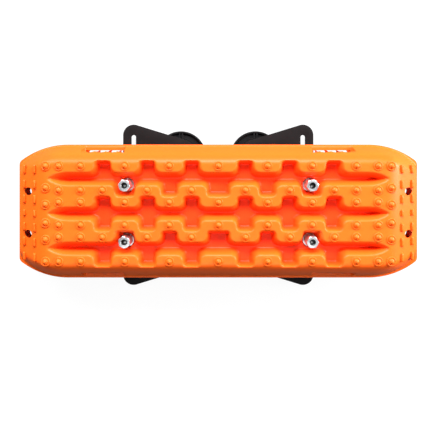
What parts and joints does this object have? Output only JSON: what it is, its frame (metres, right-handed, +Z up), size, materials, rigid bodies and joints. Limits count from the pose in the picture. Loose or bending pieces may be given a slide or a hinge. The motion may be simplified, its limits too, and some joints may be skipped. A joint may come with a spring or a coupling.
{
  "type": "tire traction mats",
  "caption": "Nested pair of moulded vehicle traction boards with studded ribs, clamped by long hex nuts to two slotted plates on round vacuum-cup bases.",
  "frame": {"origin": "on the ground, under the centre of the two mounting plates", "axes": "+X along the boards to the right, +Y to the rear, where the plates stand out most, +Z up from the cups to the tread"},
  "size_m": [0.915, 0.3872, 0.1425],
  "materials": {
    "orange_plastic": "satin moulded nylon, fine grain",
    "black_coat": "fine-textured satin powder coat",
    "black_plastic": "satin moulded",
    "rubber": "matt",
    "zinc": "bright zinc plate",
    "steel": "zinc-plated steel",
    "spring_steel": "drawn wire",
    "red_plastic": "satin"
  },
  "bodies": {
    "mount": {"bracket_plate_left": "black_coat", "bracket_plate_right": "black_coat", "cup_pad_left_rear": "rubber", "cup_housing_left_rear": "black_plastic", "cup_screw_left_rear": "steel", "pump_spring_left_rear": "spring_steel", "stud_bolt_left_rear": "steel", "slot_washer_left_rear": "zinc", "lock_nut_left_rear": "zinc", "support_nut_left_rear": "zinc", "support_washer_left_rear": "zinc", "cup_pad_left_front": "rubber", "cup_housing_left_front": "black_plastic", "cup_screw_left_front": "steel", "pump_spring_left_front": "spring_steel", "stud_bolt_left_front": "steel", "slot_washer_left_front": "zinc", "lock_nut_left_front": "zinc", "support_nut_left_front": "zinc", "support_washer_left_front": "zinc", "cup_pad_right_rear": "rubber", "cup_housing_right_rear": "black_plastic", "cup_screw_right_rear": "steel", "pump_spring_right_rear": "spring_steel", "stud_bolt_right_rear": "steel", "slot_washer_right_rear": "zinc", "lock_nut_right_rear": "zinc", "support_nut_right_rear": "zinc", "support_washer_right_rear": "zinc", "cup_pad_right_front": "rubber", "cup_housing_right_front": "black_plastic", "cup_screw_right_front": "steel", "pump_spring_right_front": "spring_steel", "stud_bolt_right_front": "steel", "slot_washer_right_front": "zinc", "lock_nut_right_front": "zinc", "support_nut_right_front": "zinc", "support_washer_right_front": "zinc"},
    "lower_deck": {"lower_board": "orange_plastic", "board_spacer_left_rear": "black_plastic", "board_spacer_left_front": "black_plastic", "board_spacer_right_rear": "black_plastic", "board_spacer_right_front": "black_plastic"},
    "upper_deck": {"upper_board": "orange_plastic", "clamp_washer_left_rear": "zinc", "clamp_washer_left_front": "zinc", "clamp_washer_right_rear": "zinc", "clamp_washer_right_front": "zinc"},
    "nut_left_rear": {"coupling_nut_left_rear": "zinc"},
    "nut_left_front": {"coupling_nut_left_front": "zinc"},
    "nut_right_rear": {"coupling_nut_right_rear": "zinc"},
    "nut_right_front": {"coupling_nut_right_front": "zinc"},
    "pump_left_rear": {"pump_plunger_left_rear": "red_plastic"},
    "pump_left_front": {"pump_plunger_left_front": "red_plastic"},
    "pump_right_rear": {"pump_plunger_right_rear": "red_plastic"},
    "pump_right_front": {"pump_plunger_right_front": "red_plastic"}
  },
  "joints": [
    {"name": "lower_board_lift", "type": "slide", "parent": "mount", "child": "lower_deck", "axis": [0, 0, 1], "range_m": [0, 0.07]},
    {"name": "upper_board_lift", "type": "slide", "parent": "lower_deck", "child": "upper_deck", "axis": [0, 0, 1], "range_m": [0, 0.06]},
    {"name": "nut_spin_left_rear", "type": "hinge", "parent": "upper_deck", "child": "nut_left_rear", "pos_m": [-0.204, 0.0516, 0.12], "axis": [0, 0, 1], "continuous": true},
    {"name": "nut_spin_left_front", "type": "hinge", "parent": "upper_deck", "child": "nut_left_front", "pos_m": [-0.204, -0.0714, 0.12], "axis": [0, 0, 1], "continuous": true},
    {"name": "nut_spin_right_rear", "type": "hinge", "parent": "upper_deck", "child": "nut_right_rear", "pos_m": [0.204, 0.0516, 0.12], "axis": [0, 0, 1], "continuous": true},
    {"name": "nut_spin_right_front", "type": "hinge", "parent": "upper_deck", "child": "nut_right_front", "pos_m": [0.204, -0.0714, 0.12], "axis": [0, 0, 1], "continuous": true},
    {"name": "pump_press_left_rear", "type": "slide", "parent": "mount", "child": "pump_left_rear", "axis": [0, 0, 1], "range_m": [-0.005, 0], "stiffness_N_per_m": 300, "springref_m": 0.003, "deforming": ["pump_spring_left_rear"]},
    {"name": "pump_press_left_front", "type": "slide", "parent": "mount", "child": "pump_left_front", "axis": [0, 0, 1], "range_m": [-0.005, 0], "stiffness_N_per_m": 300, "springref_m": 0.003, "deforming": ["pump_spring_left_front"]},
    {"name": "pump_press_right_rear", "type": "slide", "parent": "mount", "child": "pump_right_rear", "axis": [0, 0, 1], "range_m": [-0.005, 0], "stiffness_N_per_m": 300, "springref_m": 0.003, "deforming": ["pump_spring_right_rear"]},
    {"name": "pump_press_right_front", "type": "slide", "parent": "mount", "child": "pump_right_front", "axis": [0, 0, 1], "range_m": [-0.005, 0], "stiffness_N_per_m": 300, "springref_m": 0.003, "deforming": ["pump_spring_right_front"]}
  ]
}
